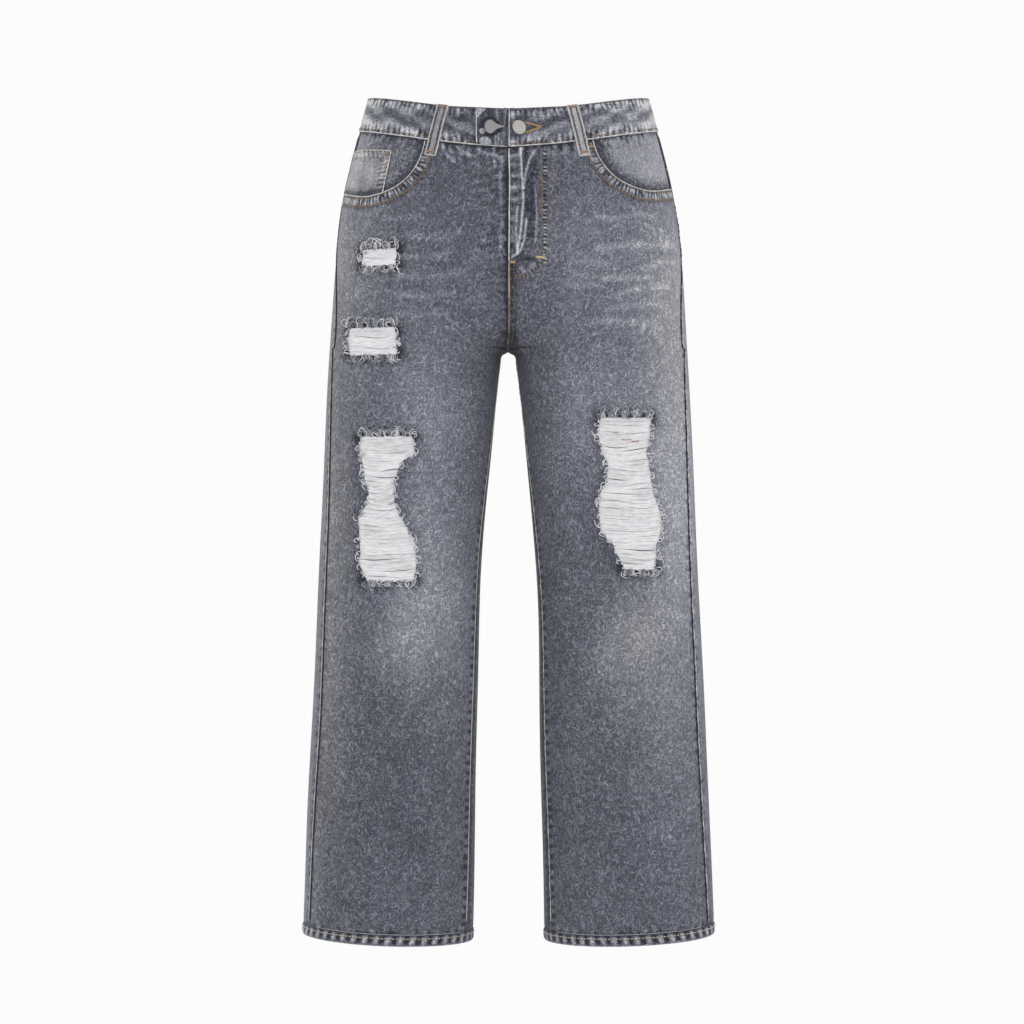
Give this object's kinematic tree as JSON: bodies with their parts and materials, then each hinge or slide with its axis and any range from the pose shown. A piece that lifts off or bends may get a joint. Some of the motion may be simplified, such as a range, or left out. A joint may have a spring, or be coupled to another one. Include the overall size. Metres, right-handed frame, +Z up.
{
  "type": "ripped jeans",
  "caption": "High-rise straight-leg jeans, filled out as if worn, with frayed rips over hip, thigh and knees that bare their white yarns.",
  "frame": {"origin": "middle of the waist opening, halfway up the waistband at the sides, where the wearer's waist holds the garment", "axes": "+Z up out of the waist, the wearer faces -Y, the wearer's left side is +X"},
  "size_m": [0.4798, 0.2343, 0.9784],
  "materials": {
    "denim": "stone-washed blue-grey cotton twill",
    "worn_denim": "pale worn cotton twill",
    "weft_yarn": "bare undyed cotton yarn",
    "button_metal": "worn nickel-plated brass",
    "zip_tape": "woven polyester tape",
    "zip_brass": "satin"
  },
  "bodies": {
    "root": {"front_right": "denim", "front_left": "denim", "back_right": "denim", "back_left": "denim", "yoke_right": "denim", "yoke_left": "denim", "waistband_right": "denim", "waistband_left": "denim", "hem_right": "denim", "hem_left": "denim", "back_pocket_right": "denim", "back_pocket_left": "denim", "pocket_facing_right": "worn_denim", "pocket_facing_left": "worn_denim", "coin_pocket": "worn_denim", "waistband_tab": "worn_denim", "belt_loop_front_right": "worn_denim", "belt_loop_front_left": "worn_denim", "belt_loop_back_right": "worn_denim", "belt_loop_back_left": "worn_denim", "belt_loop_back_centre": "worn_denim", "rip_hip_right": "weft_yarn", "rip_thigh_right": "weft_yarn", "rip_knee_right": "weft_yarn", "rip_knee_left": "weft_yarn", "button": "button_metal", "hook_plate": "button_metal", "zip_tape": "zip_tape", "zip_slider": "zip_brass"}
  },
  "joints": []
}
